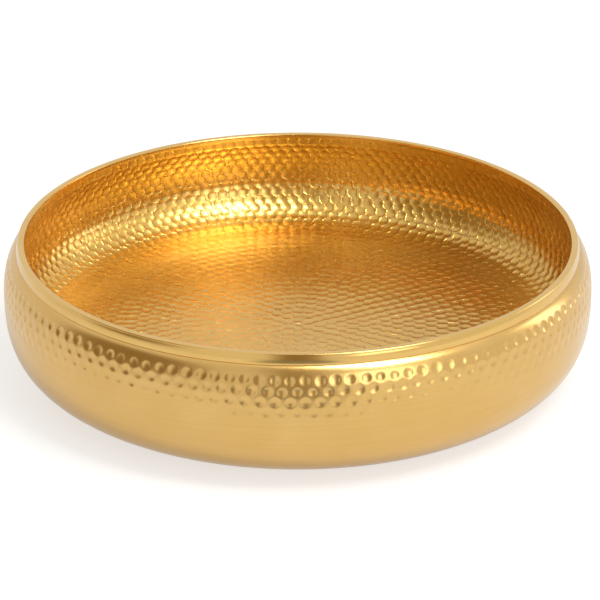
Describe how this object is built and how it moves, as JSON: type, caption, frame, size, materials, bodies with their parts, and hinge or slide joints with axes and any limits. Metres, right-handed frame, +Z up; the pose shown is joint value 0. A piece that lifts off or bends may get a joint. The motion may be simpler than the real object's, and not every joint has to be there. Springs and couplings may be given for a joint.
{
  "type": "double-walled brass tray",
  "caption": "Round shallow bowl-shaped tray in hammered brass: bellied double wall, flat inner floor and a polished rim band that caps both walls.",
  "frame": {"origin": "middle of the surface the tray stands on", "axes": "+Z up along the axis that every piece is turned about"},
  "size_m": [0.4, 0.4, 0.095],
  "materials": {
    "shell_brass": "spun and satin-brushed brass with a belt of round hammer marks",
    "liner_brass": "bright brass hammered all over in rings",
    "rim_brass": "polished brass with fine turning lines",
    "plug_rubber": "matt black rubber"
  },
  "bodies": {
    "root": {"outer_shell": "shell_brass", "inner_liner": "liner_brass", "rim_ring": "rim_brass", "vent_plug": "plug_rubber"}
  },
  "joints": []
}
